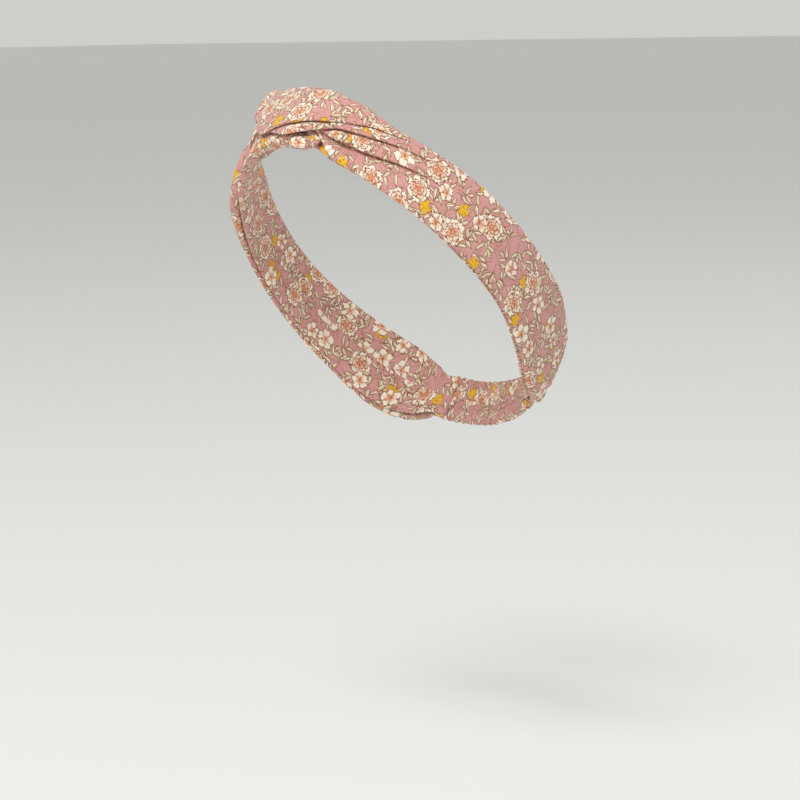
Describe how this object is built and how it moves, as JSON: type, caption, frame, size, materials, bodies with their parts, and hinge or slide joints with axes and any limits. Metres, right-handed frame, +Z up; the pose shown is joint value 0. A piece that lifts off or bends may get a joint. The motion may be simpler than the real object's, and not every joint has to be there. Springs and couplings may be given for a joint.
{
  "type": "twist headband",
  "caption": "Worn cloth headband of two fabric tubes hooked together in a front twist, wide side bands, and a gathered elastic casing at the nape.",
  "frame": {"origin": "centre of the head that the band is worn on, which holds it up", "axes": "+Z up, -Y towards the wearer's face, +X towards the wearer's left; the loop leans back 48.7 degrees from level"},
  "size_m": [0.1701, 0.1633, 0.1894],
  "materials": {
    "printed_cotton": "matt woven cotton, floral print on dusty pink",
    "casing_cotton": "matt woven cotton, gathered",
    "elastic": "white knitted elastic",
    "thread": "pink sewing thread"
  },
  "bodies": {
    "twist": {"left_tube_fold": "printed_cotton", "right_tube_fold": "printed_cotton", "elastic_casing": "casing_cotton", "elastic_strip": "elastic", "casing_seam": "thread"},
    "left_side": {"left_inner_leg": "printed_cotton", "left_outer_leg": "printed_cotton", "left_join_stitching": "thread", "left_tube_seam": "thread"},
    "right_side": {"right_inner_leg": "printed_cotton", "right_outer_leg": "printed_cotton", "right_join_stitching": "thread", "right_tube_seam": "thread"}
  },
  "joints": [
    {"name": "left_side_relax", "type": "hinge", "parent": "twist", "child": "left_side", "pos_m": [0.02444, -0.0586, 0.05677], "axis": [0, 0.7513, 0.66], "range_deg": [0, 4.2], "stiffness_Nm_per_rad": 1, "deforming": ["elastic_casing", "elastic_strip", "casing_seam"]},
    {"name": "right_side_relax", "type": "hinge", "parent": "twist", "child": "right_side", "pos_m": [-0.05387, -0.04475, 0.04043], "axis": [0, -0.7513, -0.66], "range_deg": [0, 4.2], "stiffness_Nm_per_rad": 1, "deforming": ["elastic_casing", "elastic_strip", "casing_seam"]}
  ],
  "couplings": [
    {"joint": "right_side_relax", "follows": "left_side_relax", "ratio": 1}
  ]
}
